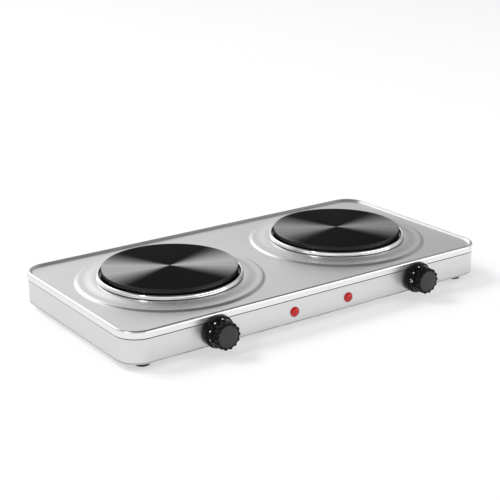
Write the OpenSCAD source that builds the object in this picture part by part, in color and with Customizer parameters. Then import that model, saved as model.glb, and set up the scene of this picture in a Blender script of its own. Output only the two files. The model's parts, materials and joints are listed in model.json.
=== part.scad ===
// Double electric hot plate: a stainless case with two equal cast-iron plates.
// The origin is on the surface it stands on, below the middle of the whole appliance. +X is to the
// right, -Y is the control side and +Z is up. Lengths are in millimetres.

/* [Case] */
// Width of the lid over its skirt
case_w = 495; // [490:1:510]
// Depth of the lid over its skirt
case_d = 249; // [247:1:256]
// Radius of the vertical corners
corner_r = 27; // [22:1:32]
// Height of the cooking surfaces above the table
overall_h = 56.5; // [56:0.5:60]
// Height of the rubber feet
foot_h = 8; // [7:0.5:9]
// Sheet thickness of the lid, wall and bottom
sheet_t = 0.8; // [0.6:0.1:0.8]
// Radius of the rolled rim around the lid
rim_r = 2.6; // [2:0.1:3]
// Height of the skirt that hangs below the lid
skirt_h = 8.2; // [7:0.1:9]

/* [Hot plates] */
// Distance between the centres of the plates
plate_pitch = 241; // [238:1:244]
// Diameter of each cooking surface
plate_d = 155; // [150:1:156]
// Thickness of the cast top
plate_t = 8; // [6:0.5:9]

/* [Controls] */
// Distance of each knob from the middle of the case
knob_x = 140; // [130:1:150]
// Diameter of the knob's flange
knob_flange_d = 36.6; // [34:0.2:38]
// Diameter of the fluted grip at its foot
knob_grip_d = 30.4; // [28:0.2:31]
// Distance from the case to the knob's front
knob_reach = 22.4; // [20:0.1:24]
// Number of flutes around the grip
knob_flutes = 14; // [12:1:24]
// Distance of each lamp from the middle of the case
lamp_x = 37.8; // [34:0.2:46]
// Diameter of the lamp lens
lamp_d = 11.6; // [11:0.2:12.4]

/* [Hidden] */
$fn = 64;
eps = 0.01;

// Levels, worked down from the cooking surface.
crest_z = overall_h - 12.1;
floor_z = crest_z - rim_r + 0.1;
seam_z = crest_z - skirt_h;
plateau_z = floor_z + 2;
seat_z = plateau_z + 1.9;
plate_base_z = seat_z + sheet_t;
body_z = foot_h;
deck_z = body_z + sheet_t;

// The knobs reach further forward than the cord bushing reaches back, so the case is set
// back to keep the origin below the middle of the whole appliance.
bushing_reach = 2.5;
case_y = (knob_reach - bushing_reach) / 2;

// The wall stands inside the skirt.
skirt_gap = 0.1;
wall_inset = sheet_t + skirt_gap;
wall_w = case_w - 2 * wall_inset;
wall_d = case_d - 2 * wall_inset;
wall_r = corner_r - wall_inset;
wall_foot_z = deck_z + 0.05;
wall_top_z = floor_z - sheet_t - 0.2;
flange_w = 10;

// Lid around each plate.
step_r = plate_d / 2 + 29.5;
step_run = 2.5;
rise_r = plate_d / 2 + 16.5;
seat_r = plate_d / 2 + 8.5;
hole_r = plate_d / 2 - 2.5;

// Trim ring.
ring_r = plate_d / 2 + 3.9;
ring_bead = 2;
ring_t = 0.6;
ring_h = 5.1;

// Hot plate underside and its heating element.
plate_wall_r = plate_d / 2 - 4;
plate_wall_in_r = plate_wall_r - 4.5;
cavity_z = overall_h - plate_t;
cavity_foot_z = cavity_z - 9;
boss_r = 11;
coil_r = 2.2;
coil_z = (cavity_z + cavity_foot_z) / 2;
coil_turns = [20, 32, 44, 56];
coil_gap_angle = 15;
coil_bed_gap = 0.3;
pin_r = 1.6;
pin_foot_z = cavity_foot_z - 13;
cover_z = cavity_foot_z - 0.9;
stud_r = 3;
strap_z = cover_z - 5;
strap_t = 1.8;
strap_half_w = 9;
strap_reach = seat_r - 1.5;
nut_h = 4.5;
shield_r = plate_d / 2 - 1.5;
shield_z = deck_z + 11.2;
shield_rim_h = 5;

// Controls, in a frame whose +Z points out of the front wall.
control_z = overall_h - 32.7;
lamp_z = overall_h - 35.7;
front_y = -wall_d / 2;
shaft_r = 3;
running_gap = 0.06;
bush_r = 5;
bush_reach = 5;
frame_t = 1.2;
frame_w = 26;
frame_h = 22;
frame_depth = 34;
shaft_depth = 12;
web_z = -17;
adjuster_r = 2;
adjuster_front = -shaft_depth - 0.9;
adjuster_tip = -20;
leaf_z = adjuster_tip - 0.4;
leaf_t = 0.4;
leaf_root_x = 7;
leaf_len = 17;
leaf_eye_r = 0.5;
contact_x = -8;
bimetal_z = -27;
bimetal_t = 0.8;
stack_x = 7.6;
knob_back = 2;
knob_flange_t = 4.8;
knob_collar_h = 5.6;
flute_r = 3.2;
flute_depth = 1.3;
cap_t = 1.2;
cap_r = knob_grip_d / 2 - 2.6;
knob_front = knob_reach - 0.2;
lens_barrel_r = 4.8;

// Mains side.
gland_x = 60;
gland_hole_r = 7;
gland_bore_r = 3.6;
block_y = 92;
block_w = 34;
block_d = 16;
block_h = 14;
earth_x = 104;
earth_y = 100;
wire_r = 1.4;

// Feet and screws.
foot_x = case_w / 2 - 27.5;
foot_y = case_d / 2 - 19.5;
foot_r = 9.5;
foot_recess_h = 3.2;
screw_r = 1.6;
side_screws = [[-1, -1], [-1, 1], [1, -1], [1, 1]];
side_screw_x = 175;
side_screw_y = wall_d / 2 - 6;
end_screw_x = wall_w / 2 - 6;

// ---- Shared shapes ----

module rounded_rect(w, d, r) {
    square([w - 2 * r, d], center = true);
    square([w, d - 2 * r], center = true);
    for (sx = [-1, 1], sy = [-1, 1])
        translate([sx * (w / 2 - r), sy * (d / 2 - r)]) circle(r);
}

// Round bar bent along a rounded rectangle; w, d and r are measured to its middle.
module rim_bar(w, d, r, bar_r) {
    for (s = [-1, 1]) {
        translate([0, s * d / 2, 0]) rotate([0, 90, 0])
            cylinder(h = w - 2 * r, r = bar_r, center = true);
        translate([s * w / 2, 0, 0]) rotate([90, 0, 0])
            cylinder(h = d - 2 * r, r = bar_r, center = true);
    }
    for (k = [0:3])
        translate([(k == 0 || k == 3 ? 1 : -1) * (w / 2 - r), (k < 2 ? 1 : -1) * (d / 2 - r), 0])
            rotate([0, 0, 90 * k]) rotate_extrude(angle = 90) translate([r, 0]) circle(bar_r);
}

module tube(h, outer_r, inner_r) {
    difference() {
        cylinder(h = h, r = outer_r);
        translate([0, 0, -1]) cylinder(h = h + 2, r = inner_r);
    }
}

module hex_nut(h, across_corners_r, bore_r) {
    difference() {
        cylinder(h = h, r = across_corners_r, $fn = 6);
        translate([0, 0, -1]) cylinder(h = h + 2, r = bore_r);
    }
}

// Slot with round ends, long axis along X.
module slot_outline(length, width) {
    square([length - width, width], center = true);
    for (s = [-1, 1]) translate([s * (length - width) / 2, 0]) circle(width / 2);
}

// Insulated wire along a list of points.
module wire(points) {
    for (i = [0:len(points) - 2]) {
        run = points[i + 1] - points[i];
        translate(points[i]) rotate([0, acos(run[2] / norm(run)), atan2(run[1], run[0])])
            cylinder(h = norm(run), r = wire_r, $fn = 24);
    }
    for (i = [1:len(points) - 2]) translate(points[i]) sphere(wire_r, $fn = 24);
}

module at_plate(side) translate([side * plate_pitch / 2, 0, 0]) children();

module at_control(side) translate([side * knob_x, front_y, control_z]) rotate([90, 0, 0]) children();

module at_lamp(side) translate([side * lamp_x, front_y, lamp_z]) rotate([90, 0, 0]) children();

module at_feet() for (sx = [-1, 1], sy = [-1, 1]) translate([sx * foot_x, sy * foot_y, 0]) children();

module at_base_screws() {
    for (s = side_screws) translate([s[0] * side_screw_x, s[1] * side_screw_y, 0]) children();
    for (s = [-1, 1]) translate([s * end_screw_x, 0, 0]) children();
}

// ---- Case ----

module top_panel() color("gainsboro") {
    bar_z = crest_z - rim_r;
    inner_bar = rim_r - sheet_t;
    // Skirt and rolled rim, hollow inside.
    difference() {
        union() {
            translate([0, 0, seam_z]) linear_extrude(bar_z - seam_z) difference() {
                rounded_rect(case_w, case_d, corner_r);
                rounded_rect(case_w - 2 * sheet_t, case_d - 2 * sheet_t, corner_r - sheet_t);
            }
            translate([0, 0, bar_z])
                rim_bar(case_w - 2 * rim_r, case_d - 2 * rim_r, corner_r - rim_r, rim_r);
        }
        translate([0, 0, bar_z])
            rim_bar(case_w - 2 * rim_r, case_d - 2 * rim_r, corner_r - rim_r, inner_bar);
        translate([0, 0, seam_z - 1]) linear_extrude(bar_z - seam_z + 1)
            rounded_rect(case_w - 2 * sheet_t, case_d - 2 * sheet_t, corner_r - sheet_t);
    }
    // Recessed floor.
    translate([0, 0, floor_z - sheet_t]) linear_extrude(sheet_t) difference() {
        rounded_rect(case_w - 4 * rim_r + sheet_t, case_d - 4 * rim_r + sheet_t,
                     corner_r - 2 * rim_r + sheet_t / 2);
        for (s = [-1, 1]) translate([s * plate_pitch / 2, 0]) circle(step_r + 1);
    }
    for (s = [-1, 1]) at_plate(s) plate_surround();
}

// Embossed surround: a step up to a plateau, then a gentle rise to the seat of the trim ring.
module plate_surround() {
    outline = [
        [step_r + 1.5, floor_z], [step_r, floor_z], [step_r - step_run, plateau_z],
        [rise_r, plateau_z], [seat_r, seat_z], [hole_r, seat_z]
    ];
    underside = [for (i = [len(outline) - 1:-1:0]) outline[i] - [0, sheet_t]];
    rotate_extrude($fn = 128) polygon(concat(outline, underside));
}

module housing() color("lightgray") difference() {
    union() {
        translate([0, 0, wall_foot_z]) linear_extrude(wall_top_z - wall_foot_z) difference() {
            rounded_rect(wall_w, wall_d, wall_r);
            rounded_rect(wall_w - 2 * sheet_t, wall_d - 2 * sheet_t, wall_r - sheet_t);
        }
        translate([0, 0, wall_foot_z]) linear_extrude(sheet_t) difference() {
            rounded_rect(wall_w, wall_d, wall_r);
            rounded_rect(wall_w - 2 * flange_w, wall_d - 2 * flange_w, wall_r - flange_w);
        }
    }
    for (s = [-1, 1]) {
        at_control(s) cylinder(h = 6, r = bush_r + 0.1, center = true);
        at_lamp(s) cylinder(h = 6, r = lens_barrel_r + 0.1, center = true);
        rear_louvres(s);
    }
    translate([gland_x, wall_d / 2, control_z]) rotate([90, 0, 0])
        cylinder(h = 6, r = gland_hole_r, center = true);
    at_base_screws() cylinder(h = deck_z + 6, r = screw_r + 0.1);
}

module rear_louvres(side) {
    count = 8;
    for (i = [0:count - 1])
        translate([side * (plate_pitch / 2 + 10) + (i - (count - 1) / 2) * 9, wall_d / 2, control_z + 1])
            rotate([90, 90, 0]) linear_extrude(6, center = true) slot_outline(15, 3);
}

module bottom_plate() color("silver") difference() {
    translate([0, 0, body_z]) linear_extrude(sheet_t) difference() {
        rounded_rect(wall_w, wall_d, wall_r);
        for (s = [-1, 1], row = [-3:3])
            translate([s * plate_pitch / 2, row * 15])
                slot_outline(row % 2 == 0 ? 60 : 46, 4);
    }
    at_feet() cylinder(h = deck_z + 1, r = 2.1);
    at_base_screws() cylinder(h = deck_z + 1, r = screw_r + 0.1);
    translate([earth_x, earth_y, 0]) cylinder(h = deck_z + 1, r = 2.1);
}

// ---- Burners ----

module hot_plate(side) color("dimgray") at_plate(side) rotate_extrude($fn = 128) polygon([
    [stud_r, cavity_foot_z], [boss_r, cavity_foot_z], [boss_r, cavity_z],
    [plate_wall_in_r, cavity_z], [plate_wall_in_r, cavity_foot_z],
    [plate_wall_r, cavity_foot_z], [plate_wall_r, plate_base_z], [plate_d / 2, plate_base_z],
    [plate_d / 2, overall_h - 0.8], [plate_d / 2 - 0.8, overall_h],
    [0, overall_h], [0, cavity_z], [stud_r, cavity_z]
]);

module trim_ring(side) color("whitesmoke") at_plate(side) rotate_extrude($fn = 128) {
    bead_z = seat_z + ring_h - ring_bead;
    difference() {
        union() {
            translate([ring_r, bead_z]) circle(ring_bead);
            translate([ring_r - ring_bead, seat_z]) square([2 * ring_bead, bead_z - seat_z]);
        }
        translate([ring_r, bead_z]) circle(ring_bead - ring_t);
        translate([ring_r - ring_bead + ring_t, seat_z - 1])
            square([2 * (ring_bead - ring_t), bead_z - seat_z + 1]);
    }
    translate([hole_r + 1, seat_z]) square([ring_r - ring_bead + ring_t - hole_r - 1, sheet_t]);
}

// Heating wire: open rings joined by alternating radial links. A slightly larger ball closes
// every bend, and a pin runs down from each end of the path.
module coil_path(r) {
    arc = 360 - 2 * coil_gap_angle;
    last = len(coil_turns) - 1;
    ball_r = r + 0.2;
    rotate([0, 0, 90]) {
        for (turn = coil_turns) {
            rotate([0, 0, coil_gap_angle]) rotate_extrude(angle = arc)
                translate([turn, coil_z]) circle(r, $fn = 24);
            for (s = [-1, 1]) rotate([0, 0, s * coil_gap_angle])
                translate([turn, 0, coil_z]) sphere(ball_r, $fn = 24);
        }
        for (i = [0:last - 1])
            rotate([0, 0, i % 2 == 0 ? -coil_gap_angle : coil_gap_angle])
                translate([coil_turns[i], 0, coil_z]) rotate([0, 90, 0])
                    cylinder(h = coil_turns[i + 1] - coil_turns[i], r = r - 0.2, $fn = 24);
        for (turn = [coil_turns[0], coil_turns[last]])
            rotate([0, 0, coil_gap_angle]) translate([turn, 0, pin_foot_z])
                cylinder(h = coil_z - pin_foot_z, r = pin_r, $fn = 24);
    }
}

module heating_coil(side) color("peru") at_plate(side) coil_path(coil_r);

module insulation(side) color("seashell") at_plate(side) difference() {
    translate([0, 0, cavity_foot_z + 0.1])
        tube(cavity_z - cavity_foot_z - 0.2, plate_wall_in_r - 0.1, boss_r + 0.1);
    coil_path(coil_r + coil_bed_gap);
}

// Places something at both pins of the element, under its cover.
module at_pins() for (turn = [coil_turns[0], coil_turns[len(coil_turns) - 1]])
    rotate([0, 0, 90 + coil_gap_angle]) translate([turn, 0, 0]) children();

module element_cover(side) color("lightsteelblue") at_plate(side) difference() {
    translate([0, 0, cover_z]) tube(sheet_t, plate_wall_r, stud_r + 0.2);
    at_pins() cylinder(h = overall_h, r = pin_r + 1);
}

module element_terminal(side) color("linen") at_plate(side) difference() {
    rotate([0, 0, 90 + coil_gap_angle])
        translate([coil_turns[0] - 5, -6, pin_foot_z + 2])
            cube([coil_turns[len(coil_turns) - 1] - coil_turns[0] + 10, 12, cover_z - pin_foot_z - 2.1]);
    at_pins() cylinder(h = overall_h, r = pin_r + 0.1);
}

module clamp_strap(side) color("silver") at_plate(side) difference() {
    union() {
        translate([-strap_reach, -strap_half_w, strap_z])
            cube([2 * strap_reach, 2 * strap_half_w, strap_t]);
        for (s = [0, 1]) mirror([s, 0, 0])
            translate([strap_reach - strap_t, -strap_half_w, strap_z])
                cube([strap_t, 2 * strap_half_w, seat_z - sheet_t - 0.1 - strap_z]);
    }
    cylinder(h = overall_h, r = stud_r + 0.2);
}

module plate_studs() color("goldenrod") for (s = [-1, 1]) at_plate(s) {
    stud_foot_z = strap_z - nut_h - 2;
    translate([0, 0, stud_foot_z]) cylinder(h = cavity_z - 1 - stud_foot_z, r = stud_r - 0.05);
    translate([0, 0, strap_z + strap_t + 0.05]) cylinder(h = cover_z - strap_z - strap_t - 0.1, r = 5.5);
}

module plate_nuts() color("goldenrod") for (s = [-1, 1]) at_plate(s)
    translate([0, 0, strap_z - nut_h - 0.05]) hex_nut(nut_h, 5.8, stud_r + 0.05);

module heat_shield(side) color("lightsteelblue") at_plate(side) {
    translate([0, 0, shield_z]) cylinder(h = sheet_t, r = shield_r);
    translate([0, 0, shield_z]) tube(shield_rim_h, shield_r, shield_r - sheet_t);
    for (a = [30, 150, 270]) rotate([0, 0, a])
        translate([shield_r - 8, -5, deck_z]) cube([sheet_t, 10, shield_z - deck_z + 0.2]);
}

// ---- Controls ----

module knob(side) color("black") at_control(side) difference() {
    collar_foot = knob_back + knob_flange_t;
    grip_foot = collar_foot + knob_collar_h;
    union() {
        translate([0, 0, knob_back]) cylinder(h = knob_flange_t - 0.5, r = knob_flange_d / 2);
        translate([0, 0, collar_foot - 0.5])
            cylinder(h = 0.5, r1 = knob_flange_d / 2, r2 = knob_flange_d / 2 - 0.6);
        translate([0, 0, collar_foot - eps])
            cylinder(h = knob_collar_h + eps, r1 = knob_grip_d / 2 + 0.8, r2 = knob_grip_d / 2 + 0.3);
        translate([0, 0, grip_foot - eps])
            cylinder(h = knob_front - grip_foot + eps, r1 = knob_grip_d / 2, r2 = knob_grip_d / 2 - 0.7);
    }
    for (i = [0:knob_flutes - 1]) rotate([0, 0, 360 / knob_flutes * i])
        translate([knob_grip_d / 2 - flute_depth + flute_r, 0, grip_foot])
            cylinder(h = knob_reach, r = flute_r, $fn = 24);
    translate([0, 0, knob_front - cap_t + 0.2]) cylinder(h = cap_t, r = cap_r + 0.05);
    difference() {
        translate([0, 0, knob_back - 1]) cylinder(h = 13, r = 12);
        translate([0, 0, bush_reach + 1]) cylinder(h = 20, r = 6);
    }
    cylinder(h = 18.2, r = shaft_r + 0.02);
}

module knob_cap(side) color("dimgray") at_control(side)
    translate([0, 0, knob_reach - cap_t]) cylinder(h = cap_t, r = cap_r);

module knob_shaft(side) color("silver") at_control(side)
    translate([0, 0, -shaft_depth]) cylinder(h = shaft_depth + 18, r = shaft_r);

module thermostat_bush(side) color("goldenrod") at_control(side) {
    frame_back = -sheet_t - frame_t;
    translate([0, 0, frame_back]) tube(bush_reach - frame_back, bush_r, shaft_r + running_gap);
    translate([0, 0, frame_back - 2]) tube(2, bush_r + 2.5, shaft_r + running_gap);
}

module bush_nuts() color("silver") for (s = [-1, 1]) at_control(s)
    translate([0, 0, 0.02]) hex_nut(3, 8, bush_r + 0.05);

module thermostat_frame(side) color("silver") at_control(side) difference() {
    union() {
        translate([-frame_w / 2, -frame_h / 2, -sheet_t - frame_t]) cube([frame_w, frame_h, frame_t]);
        for (s = [0, 1]) mirror([s, 0, 0])
            translate([frame_w / 2 - frame_t, -frame_h / 2, -frame_depth])
                cube([frame_t, frame_h, frame_depth - sheet_t]);
        translate([-frame_w / 2, -6, web_z]) cube([frame_w, 12, frame_t]);
    }
    cylinder(h = 6, r = bush_r + 0.05, center = true);
    translate([0, 0, web_z - 1]) cylinder(h = frame_t + 2, r = adjuster_r + running_gap);
}

module adjuster(side) color("goldenrod") at_control(side)
    translate([0, 0, adjuster_tip]) cylinder(h = adjuster_front - adjuster_tip, r = adjuster_r);

// The leaf's root is rolled into an eye, about which it flexes.
module contact_leaf(side) color("peru") at_control(side) {
    translate([leaf_root_x, -3, leaf_z - leaf_t / 2]) rotate([-90, 0, 0]) cylinder(h = 6, r = leaf_eye_r);
    translate([leaf_root_x - leaf_len, -3, leaf_z - leaf_t]) cube([leaf_len, 6, leaf_t]);
    translate([contact_x, 0, leaf_z - leaf_t - 1.2]) cylinder(h = 1.2 + eps, r = 1.5);
}

module bimetal_blade(side) color("darkgray") at_control(side) {
    translate([-10, -4, bimetal_z - bimetal_t]) cube([stack_x + 13, 8, bimetal_t]);
    translate([contact_x, 0, bimetal_z - eps]) cylinder(h = 1.4, r = 1.5);
}

module thermostat_stack(side) color("linen") at_control(side) difference() {
    translate([stack_x, -5, -32]) cube([frame_w / 2 - frame_t - stack_x, 10, 14]);
    translate([stack_x - 1, -4.05, bimetal_z - bimetal_t - 0.05]) cube([10, 8.1, bimetal_t + 0.1]);
}

// ---- Pilot lamps ----

module lamp_lens(side) color("red") at_lamp(side) {
    rim_h = 0.8;
    dome_h = 2.6;
    dome_r = (pow(lamp_d / 2, 2) + pow(dome_h, 2)) / (2 * dome_h);
    cylinder(h = rim_h, r = lamp_d / 2);
    intersection() {
        translate([0, 0, rim_h + dome_h - dome_r]) sphere(dome_r);
        translate([0, 0, rim_h - eps]) cylinder(h = dome_h + 1, r = lamp_d / 2);
    }
    translate([0, 0, -14]) tube(14 + eps, lens_barrel_r, 3.9);
}

module lamp_holders() color("ivory") for (s = [-1, 1]) at_lamp(s) {
    translate([0, 0, -20]) cylinder(h = 7.5, r = 3.85);
    for (x = [-2, 2]) translate([x - 0.4, -1.5, -26]) cube([0.8, 3, 6 + eps]);
}

module neon_bulbs() color("orange") for (s = [-1, 1]) at_lamp(s) {
    translate([0, 0, -12.4]) cylinder(h = 8, r = 2.8);
    translate([0, 0, -4.4]) sphere(2.8);
}

module lamp_clips() color("silver") for (s = [-1, 1]) at_lamp(s)
    translate([0, 0, -sheet_t - 1.1]) tube(1, 8, lens_barrel_r + 0.05);

// ---- Feet and fasteners ----

module foot(sx, sy) color("black") translate([sx * foot_x, sy * foot_y, 0]) rotate_extrude() polygon([
    [2.1, foot_recess_h], [4.3, foot_recess_h], [4.3, 0], [foot_r - 1.8, 0], [foot_r - 1, 0.8],
    [foot_r, foot_h], [2.1, foot_h]
]);

module foot_screws() color("silver") at_feet() {
    translate([0, 0, foot_recess_h - 2]) cylinder(h = 2, r = 3.9);
    translate([0, 0, foot_recess_h - eps]) cylinder(h = deck_z + 5 - foot_recess_h, r = 2);
}

module foot_nuts() color("silver") at_feet() translate([0, 0, deck_z + 0.02]) hex_nut(3, 4.2, 2.05);

module base_screws() color("silver") at_base_screws() {
    translate([0, 0, body_z - 1.9]) cylinder(h = 1.88, r = 3.1);
    translate([0, 0, body_z - 0.1]) cylinder(h = 6, r = screw_r);
}

// ---- Mains side ----

module cord_bushing() color("black") translate([gland_x, wall_d / 2, control_z]) rotate([-90, 0, 0]) {
    tube(bushing_reach, 9.5, gland_bore_r);
    translate([0, 0, -sheet_t - eps]) tube(sheet_t + 2 * eps, gland_hole_r - 0.05, gland_bore_r);
    translate([0, 0, -sheet_t - 3]) tube(3, 8.6, gland_bore_r);
}

module terminal_block() color("ivory") translate([gland_x, block_y, deck_z + 0.4]) difference() {
    translate([-block_w / 2, -block_d / 2, 0]) cube([block_w, block_d, block_h]);
    for (x = [-10, 0, 10]) translate([x, 0, 0]) {
        translate([0, 0, 6.8]) rotate([90, 0, 0]) cylinder(h = block_d + 2, r = 1.5, center = true);
        translate([0, 0, 8]) cylinder(h = block_h, r = 2.4);
    }
}

module terminal_screws() color("goldenrod") for (x = [-10, 0, 10])
    translate([gland_x + x, block_y, deck_z + 8.5]) cylinder(h = 4, r = 2.3);

module earth_stud() color("goldenrod") translate([earth_x, earth_y, 0]) {
    translate([0, 0, body_z - 1.5]) cylinder(h = 1.48, r = 3.4);
    translate([0, 0, body_z - 0.1]) cylinder(h = 14, r = 2);
    translate([0, 0, deck_z + 0.05]) tube(0.8, 5, 1.9);
    translate([0, 0, deck_z + 1.2]) hex_nut(3, 4.2, 1.9);
}

module thermostat_wires() color("white") {
    low_z = 16;
    leave_y = block_y - block_d / 2;
    for (s = [-1, 1]) {
        lane_x = 12 + 4 * s;
        lane_y = leave_y - 6 - 2 * s;
        stack_mid_x = s * knob_x + (stack_x + frame_w / 2 - frame_t) / 2;
        cross_y = front_y + 37.6 - 2 * s;
        wire([
            [gland_x - 5 + 5 * s, leave_y - 0.05, low_z], [gland_x - 5 + 5 * s, lane_y, low_z],
            [lane_x, lane_y, low_z], [lane_x, cross_y, low_z], [stack_mid_x, cross_y, low_z],
            [stack_mid_x, cross_y, control_z], [stack_mid_x, front_y + 32.1, control_z]
        ]);
    }
}

module supply_wires() color("firebrick") {
    leave_z = deck_z + 9;
    high_z = pin_foot_z + 5;
    tail_angle = 90 + coil_gap_angle;
    tail_r = coil_turns[len(coil_turns) - 1] + 5.1;
    for (s = [-1, 1]) {
        side_x = gland_x + s * (block_w / 2 + 0.05);
        end_x = s * plate_pitch / 2 + tail_r * cos(tail_angle);
        end_y = tail_r * sin(tail_angle);
        wire([
            [side_x, block_y, leave_z], [side_x + s * 7, block_y, leave_z],
            [side_x + s * 7, block_y, high_z], [end_x - 5, block_y, high_z], [end_x, end_y, high_z]
        ]);
    }
    wire([
        [gland_x + 10, block_y - block_d / 2 - 0.05, 16], [gland_x + 10, block_y - block_d / 2 - 3.5, 16],
        [earth_x, block_y - block_d / 2 - 3.5, 16], [earth_x, earth_y - 2.1, 16]
    ]);
}

// ---- The whole appliance, or one node of it ----

translate([0, case_y, 0]) {
    top_panel();
    housing();
    bottom_plate();
    hot_plate(-1);  // left_hot_plate
    hot_plate(1);  // right_hot_plate
    trim_ring(-1);  // left_trim_ring
    trim_ring(1);  // right_trim_ring
    insulation(-1);  // left_insulation
    insulation(1);  // right_insulation
    heating_coil(-1);  // left_heating_coil
    heating_coil(1);  // right_heating_coil
    element_cover(-1);  // left_element_cover
    element_cover(1);  // right_element_cover
    element_terminal(-1);  // left_element_terminal
    element_terminal(1);  // right_element_terminal
    clamp_strap(-1);  // left_clamp_strap
    clamp_strap(1);  // right_clamp_strap
    heat_shield(-1);  // left_heat_shield
    heat_shield(1);  // right_heat_shield
    plate_studs();
    plate_nuts();
    knob(-1);  // left_knob
    knob(1);  // right_knob
    knob_cap(-1);  // left_knob_cap
    knob_cap(1);  // right_knob_cap
    knob_shaft(-1);  // left_knob_shaft
    knob_shaft(1);  // right_knob_shaft
    thermostat_bush(-1);  // left_thermostat_bush
    thermostat_bush(1);  // right_thermostat_bush
    thermostat_frame(-1);  // left_thermostat_frame
    thermostat_frame(1);  // right_thermostat_frame
    thermostat_stack(-1);  // left_thermostat_stack
    thermostat_stack(1);  // right_thermostat_stack
    bimetal_blade(-1);  // left_bimetal_blade
    bimetal_blade(1);  // right_bimetal_blade
    contact_leaf(-1);  // left_contact_leaf
    contact_leaf(1);  // right_contact_leaf
    adjuster(-1);  // left_adjuster
    adjuster(1);  // right_adjuster
    bush_nuts();
    lamp_lens(-1);  // left_lamp_lens
    lamp_lens(1);  // right_lamp_lens
    lamp_holders();
    neon_bulbs();
    lamp_clips();
    foot(-1, -1);  // front_left_foot
    foot(1, -1);  // front_right_foot
    foot(-1, 1);  // rear_left_foot
    foot(1, 1);  // rear_right_foot
    foot_screws();
    foot_nuts();
    base_screws();
    cord_bushing();
    terminal_block();
    terminal_screws();
    earth_stud();
    thermostat_wires();
    supply_wires();
}
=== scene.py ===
# %% [markdown]
# # A double electric hot plate
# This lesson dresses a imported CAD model. The CAD holds every real size and every moving part, so
# each visible piece here takes its place from the frame, and only its fine shape and its finish
# are new. All lengths are in metres, with Z up and the controls facing -Y.

# %% Load the frame
import bmesh
import bpy
import json
import math
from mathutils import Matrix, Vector

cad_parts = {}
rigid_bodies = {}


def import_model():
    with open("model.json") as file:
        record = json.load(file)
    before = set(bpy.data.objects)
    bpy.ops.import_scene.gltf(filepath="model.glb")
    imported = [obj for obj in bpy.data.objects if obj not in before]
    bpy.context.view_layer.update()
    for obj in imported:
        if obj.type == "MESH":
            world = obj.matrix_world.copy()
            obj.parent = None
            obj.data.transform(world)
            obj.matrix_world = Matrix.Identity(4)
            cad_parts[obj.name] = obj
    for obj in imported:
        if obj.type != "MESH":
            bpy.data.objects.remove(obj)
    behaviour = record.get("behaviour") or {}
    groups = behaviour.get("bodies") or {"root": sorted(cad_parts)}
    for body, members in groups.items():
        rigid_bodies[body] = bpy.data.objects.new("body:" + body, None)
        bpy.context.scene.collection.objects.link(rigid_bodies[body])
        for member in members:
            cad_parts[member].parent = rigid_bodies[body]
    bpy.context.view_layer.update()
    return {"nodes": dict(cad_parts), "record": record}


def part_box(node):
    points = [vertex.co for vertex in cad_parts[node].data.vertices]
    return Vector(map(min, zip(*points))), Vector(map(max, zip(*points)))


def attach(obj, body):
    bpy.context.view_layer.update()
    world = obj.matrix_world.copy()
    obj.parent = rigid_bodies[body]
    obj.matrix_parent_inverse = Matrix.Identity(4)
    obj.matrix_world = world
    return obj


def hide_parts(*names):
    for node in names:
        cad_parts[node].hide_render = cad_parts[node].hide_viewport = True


# A new Blender file may hold a cube, a lamp and a camera, which aren't wanted here.
for leftover in list(bpy.data.objects):
    bpy.data.objects.remove(leftover)

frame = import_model()
nodes = frame["nodes"]

# %% [markdown]
# The camera comes first. It stands in front of the left corner at about the height from which a
# cook sees the appliance, with a long lens, so that the far plate stays nearly as large as the
# near one. Its tilt, turn and small roll are given in degrees, and its place in metres.

# %% Camera
CAMERA_PLACE = Vector((-0.7806, -1.0805, 0.5087))
CAMERA_TILT = 18.87
CAMERA_TURN = 35.25
CAMERA_ROLL = 0.26
CAMERA_LENS = 86.4


def add_camera():
    data = bpy.data.cameras.new("camera")
    data.lens = CAMERA_LENS
    data.sensor_width = 36
    data.clip_start = 0.01
    camera = bpy.data.objects.new("camera", data)
    camera.location = CAMERA_PLACE
    turn, tilt = math.radians(CAMERA_TURN), math.radians(CAMERA_TILT)
    forward = Vector((math.sin(turn) * math.cos(tilt), math.cos(turn) * math.cos(tilt), -math.sin(tilt)))
    facing = forward.to_track_quat("-Z", "Y").to_matrix().to_4x4()
    camera.rotation_euler = facing.to_euler()
    camera.rotation_euler.rotate_axis("Z", math.radians(-CAMERA_ROLL))
    bpy.context.scene.collection.objects.link(camera)
    bpy.context.scene.camera = camera
    return camera


camera = add_camera()
print("camera", tuple(round(v, 3) for v in camera.location))

# %% [markdown]
# Most pieces follow the same few steps: select nothing, add a primitive, shape it in edit mode,
# apply its place to its mesh, and smooth it by angle. These helpers keep those steps short. A
# turned piece, such as a plate or a foot, is a chain of points that the spin operator turns once
# round an axis; its first and last rings are then merged and its faces made to point outwards.


# %% Helpers for making meshes
def select_only(obj):
    if bpy.context.object and bpy.context.object.mode != "OBJECT":
        bpy.ops.object.mode_set(mode="OBJECT")
    bpy.ops.object.select_all(action="DESELECT")
    obj.select_set(True)
    bpy.context.view_layer.objects.active = obj


def set_place(obj):
    select_only(obj)
    bpy.ops.object.transform_apply(location=True, rotation=True, scale=True)


def apply_modifier(obj, kind, **settings):
    select_only(obj)
    modifier = obj.modifiers.new(kind.lower(), kind)
    for name, value in settings.items():
        setattr(modifier, name, value)
    bpy.ops.object.modifier_apply(modifier=modifier.name)


def clean(obj, distance=1e-6, outward=True):
    select_only(obj)
    bpy.ops.object.mode_set(mode="EDIT")
    bpy.ops.mesh.select_all(action="SELECT")
    bpy.ops.mesh.remove_doubles(threshold=distance)
    if outward:
        bpy.ops.mesh.normals_make_consistent(inside=False)
    bpy.ops.object.mode_set(mode="OBJECT")


def smooth(obj, angle=40):
    select_only(obj)
    bpy.ops.object.shade_smooth_by_angle(angle=math.radians(angle))


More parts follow.
